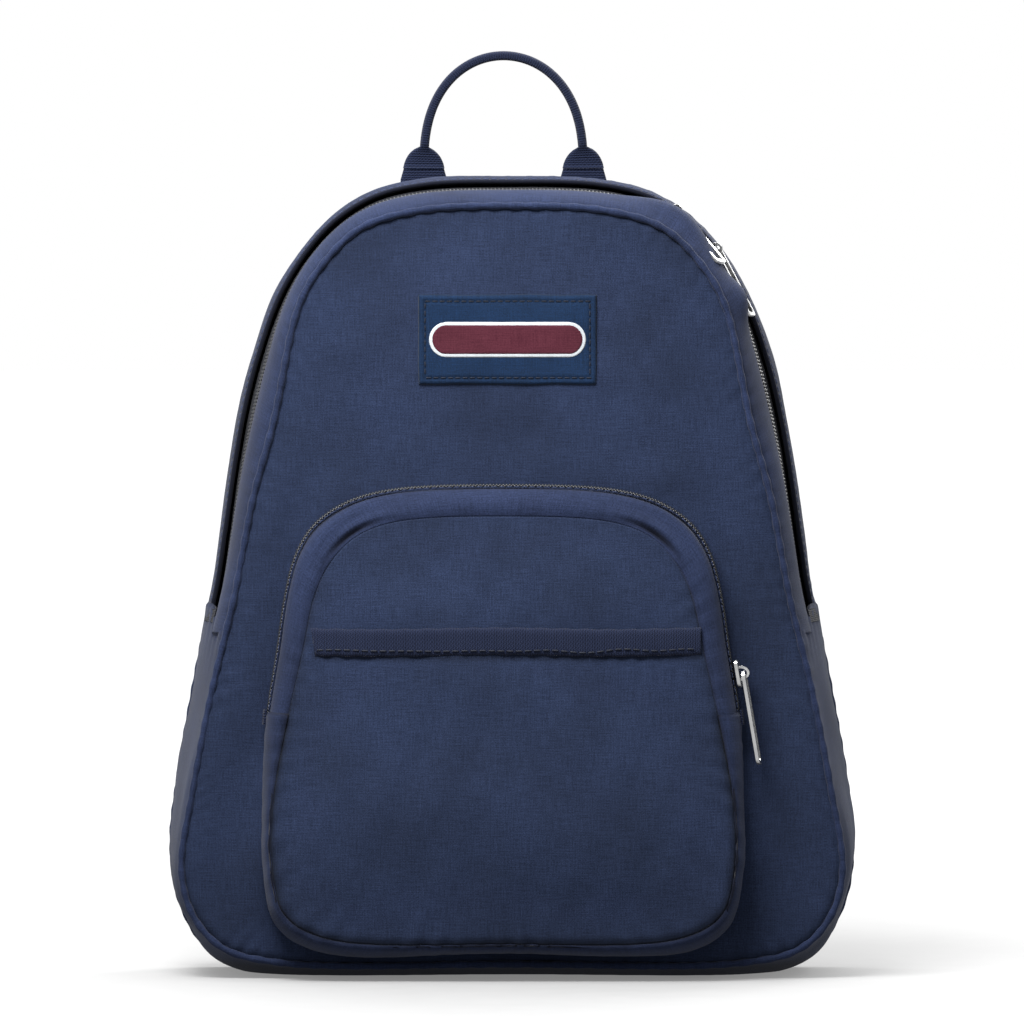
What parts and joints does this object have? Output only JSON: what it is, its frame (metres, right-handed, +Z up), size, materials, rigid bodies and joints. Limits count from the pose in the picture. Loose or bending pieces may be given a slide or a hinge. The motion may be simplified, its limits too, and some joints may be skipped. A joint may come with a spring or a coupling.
{
  "type": "school backpack",
  "caption": "Small navy canvas school backpack with an arched main zip, a front pocket, a haul loop and two padded straps.",
  "frame": {"origin": "centre of the bounding box at its bottom, on the floor", "axes": "+Z up along the height of the bag, +X to the right of somebody looking at its front, the front faces -Y"},
  "size_m": [0.2754, 0.145, 0.3681],
  "materials": {
    "navy_canvas": "matte",
    "webbing": "matte",
    "zip_black": "matte",
    "patch_cloth": "matte",
    "lining": "matte",
    "foam": "matte",
    "black_plastic": "satin",
    "silver_metal": "satin"
  },
  "bodies": {
    "shell": {"back_foam_pad": "foam", "back_lining": "lining", "back_panel_cover": "navy_canvas", "back_piping": "navy_canvas", "front_gusset_left": "navy_canvas", "front_gusset_right": "navy_canvas", "front_panel_lower": "navy_canvas", "front_piping_lower": "navy_canvas", "haul_base_left": "webbing", "haul_base_right": "webbing", "lower_gusset": "navy_canvas", "main_stringer_left": "zip_black", "main_stringer_rear": "zip_black", "main_stringer_right": "zip_black", "main_zip_end_left": "webbing", "main_zip_end_right": "webbing", "pocket_front_lower": "navy_canvas", "pocket_gusset": "navy_canvas", "pocket_stringer_fixed": "zip_black", "pocket_zip_end_left": "webbing", "pocket_zip_end_right": "webbing", "rear_gusset": "navy_canvas", "seam_binding": "lining", "strap_anchor_band": "webbing", "strap_tab_left": "webbing", "strap_tab_right": "webbing"},
    "front_flap": {"front_panel_upper": "navy_canvas", "front_gusset_upper": "navy_canvas", "front_piping_upper": "navy_canvas", "main_stringer_front": "zip_black", "label_patch": "patch_cloth"},
    "pocket_flap": {"pocket_front_upper": "navy_canvas", "pocket_band": "navy_canvas", "pocket_stringer_moving": "zip_black", "pocket_webbing_strip": "webbing"},
    "haul_loop": {"haul_loop": "webbing"},
    "main_slider_upper": {"main_slider_upper": "silver_metal"},
    "main_pull_upper": {"main_pull_upper": "silver_metal"},
    "main_slider_lower": {"main_slider_lower": "silver_metal"},
    "main_pull_lower": {"main_pull_lower": "silver_metal"},
    "pocket_slider": {"pocket_slider": "silver_metal"},
    "pocket_pull": {"pocket_pull": "silver_metal"},
    "strap_left": {"strap_pad_left": "navy_canvas", "strap_end_loop_left": "webbing", "strap_webbing_left": "webbing"},
    "ladder_lock_left": {"ladder_lock_left": "black_plastic"},
    "strap_tail_left": {"strap_tail_left": "webbing"},
    "strap_right": {"strap_pad_right": "navy_canvas", "strap_end_loop_right": "webbing", "strap_webbing_right": "webbing"},
    "ladder_lock_right": {"ladder_lock_right": "black_plastic"},
    "strap_tail_right": {"strap_tail_right": "webbing"}
  },
  "joints": [
    {"name": "front_flap_fold", "type": "hinge", "parent": "shell", "child": "front_flap", "pos_m": [0, -0.038, 0.2], "axis": [1, 0, 0], "range_deg": [0, 95]},
    {"name": "pocket_flap_fold", "type": "hinge", "parent": "shell", "child": "pocket_flap", "pos_m": [0, -0.0672, 0.104], "axis": [1, 0, 0], "range_deg": [0, 60]},
    {"name": "haul_loop_swing", "type": "hinge", "parent": "shell", "child": "haul_loop", "pos_m": [0, 0.03126, 0.321], "axis": [1, 0, 0], "range_deg": [-70, 70]},
    {"name": "main_slider_upper_track", "type": "hinge", "parent": "front_flap", "child": "main_slider_upper", "pos_m": [0.03101, -0.0031, 0.25112], "axis": [0, -1, 0], "range_deg": [0, 22]},
    {"name": "main_slider_lower_track", "type": "hinge", "parent": "front_flap", "child": "main_slider_lower", "pos_m": [-0.01422, -0.00475, 0.21953], "axis": [0, 1, 0], "range_deg": [0, 12]},
    {"name": "main_pull_upper_swing", "type": "hinge", "parent": "main_slider_upper", "child": "main_pull_upper", "pos_m": [0.06575, -0.00345, 0.30497], "axis": [-0.5442, -0.8303, 0.12], "range_deg": [0, 150]},
    {"name": "main_pull_lower_swing", "type": "hinge", "parent": "main_slider_lower", "child": "main_pull_lower", "pos_m": [0.08187, -0.00411, 0.28954], "axis": [-0.3239, -0.9447, 0.052], "range_deg": [0, 150]},
    {"name": "pocket_slider_track", "type": "slide", "parent": "shell", "child": "pocket_slider", "axis": [-0.166, 0.082, 0.9827], "range_m": [0, 0.025]},
    {"name": "pocket_pull_swing", "type": "hinge", "parent": "pocket_slider", "child": "pocket_pull", "pos_m": [0.09215, -0.04671, 0.12171], "axis": [-0.1599, -0.9855, 0.056], "range_deg": [0, 150]},
    {"name": "strap_left_swing", "type": "hinge", "parent": "shell", "child": "strap_left", "pos_m": [-0.036, 0.03406, 0.281], "axis": [1, 0, 0], "range_deg": [0, 10]},
    {"name": "ladder_lock_left_tilt", "type": "hinge", "parent": "strap_left", "child": "ladder_lock_left", "pos_m": [-0.07194, 0.06015, 0.09928], "axis": [0.9401, -0.123, -0.318], "range_deg": [0, 30]},
    {"name": "strap_tail_left_slide", "type": "slide", "parent": "ladder_lock_left", "child": "strap_tail_left", "axis": [-0.3411, -0.3381, -0.8772], "range_m": [0, 0.025]},
    {"name": "strap_right_swing", "type": "hinge", "parent": "shell", "child": "strap_right", "pos_m": [0.036, 0.03406, 0.281], "axis": [1, 0, 0], "range_deg": [0, 10]},
    {"name": "ladder_lock_right_tilt", "type": "hinge", "parent": "strap_right", "child": "ladder_lock_right", "pos_m": [0.07194, 0.06015, 0.09928], "axis": [0.9401, 0.123, 0.318], "range_deg": [0, 30]},
    {"name": "strap_tail_right_slide", "type": "slide", "parent": "ladder_lock_right", "child": "strap_tail_right", "axis": [0.3411, -0.3381, -0.8772], "range_m": [0, 0.025]}
  ]
}
